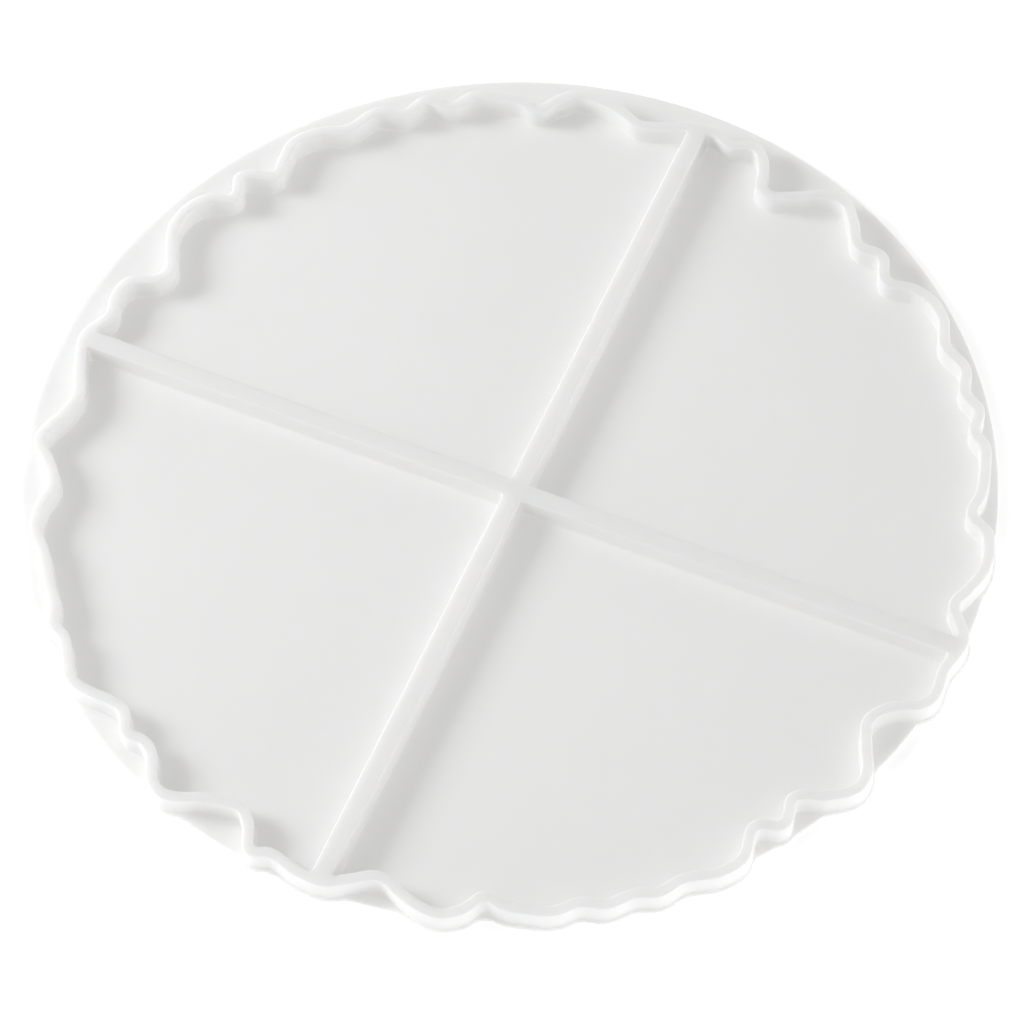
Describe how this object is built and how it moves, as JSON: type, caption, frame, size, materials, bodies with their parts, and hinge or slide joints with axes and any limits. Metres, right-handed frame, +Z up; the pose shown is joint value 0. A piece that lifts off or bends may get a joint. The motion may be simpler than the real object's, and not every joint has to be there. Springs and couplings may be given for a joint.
{
  "type": "resin casting mould",
  "caption": "Round silicone tray mould for resin: a thin base sheet with a wavy agate-style wall and crossing dividers that part it into open cavities.",
  "frame": {"origin": "centre of the round base sheet, on its underside, where the mould rests on the table", "axes": "+Z up out of the open cavities; Y along the long divider, +Y towards the back, where the sheet is widest outside the wall; X along the two shorter divider arms, +X to the right"},
  "size_m": [0.302, 0.302, 0.0095],
  "materials": {
    "silicone_sheet": "gloss",
    "silicone_wall": "satin",
    "silicone_divider": "satin"
  },
  "bodies": {
    "root": {"base_sheet": "silicone_sheet", "wall_back_right": "silicone_wall", "wall_back_left": "silicone_wall", "wall_front_left": "silicone_wall", "wall_front_right": "silicone_wall", "divider_long": "silicone_divider", "divider_left": "silicone_divider", "divider_right": "silicone_divider"}
  },
  "joints": []
}
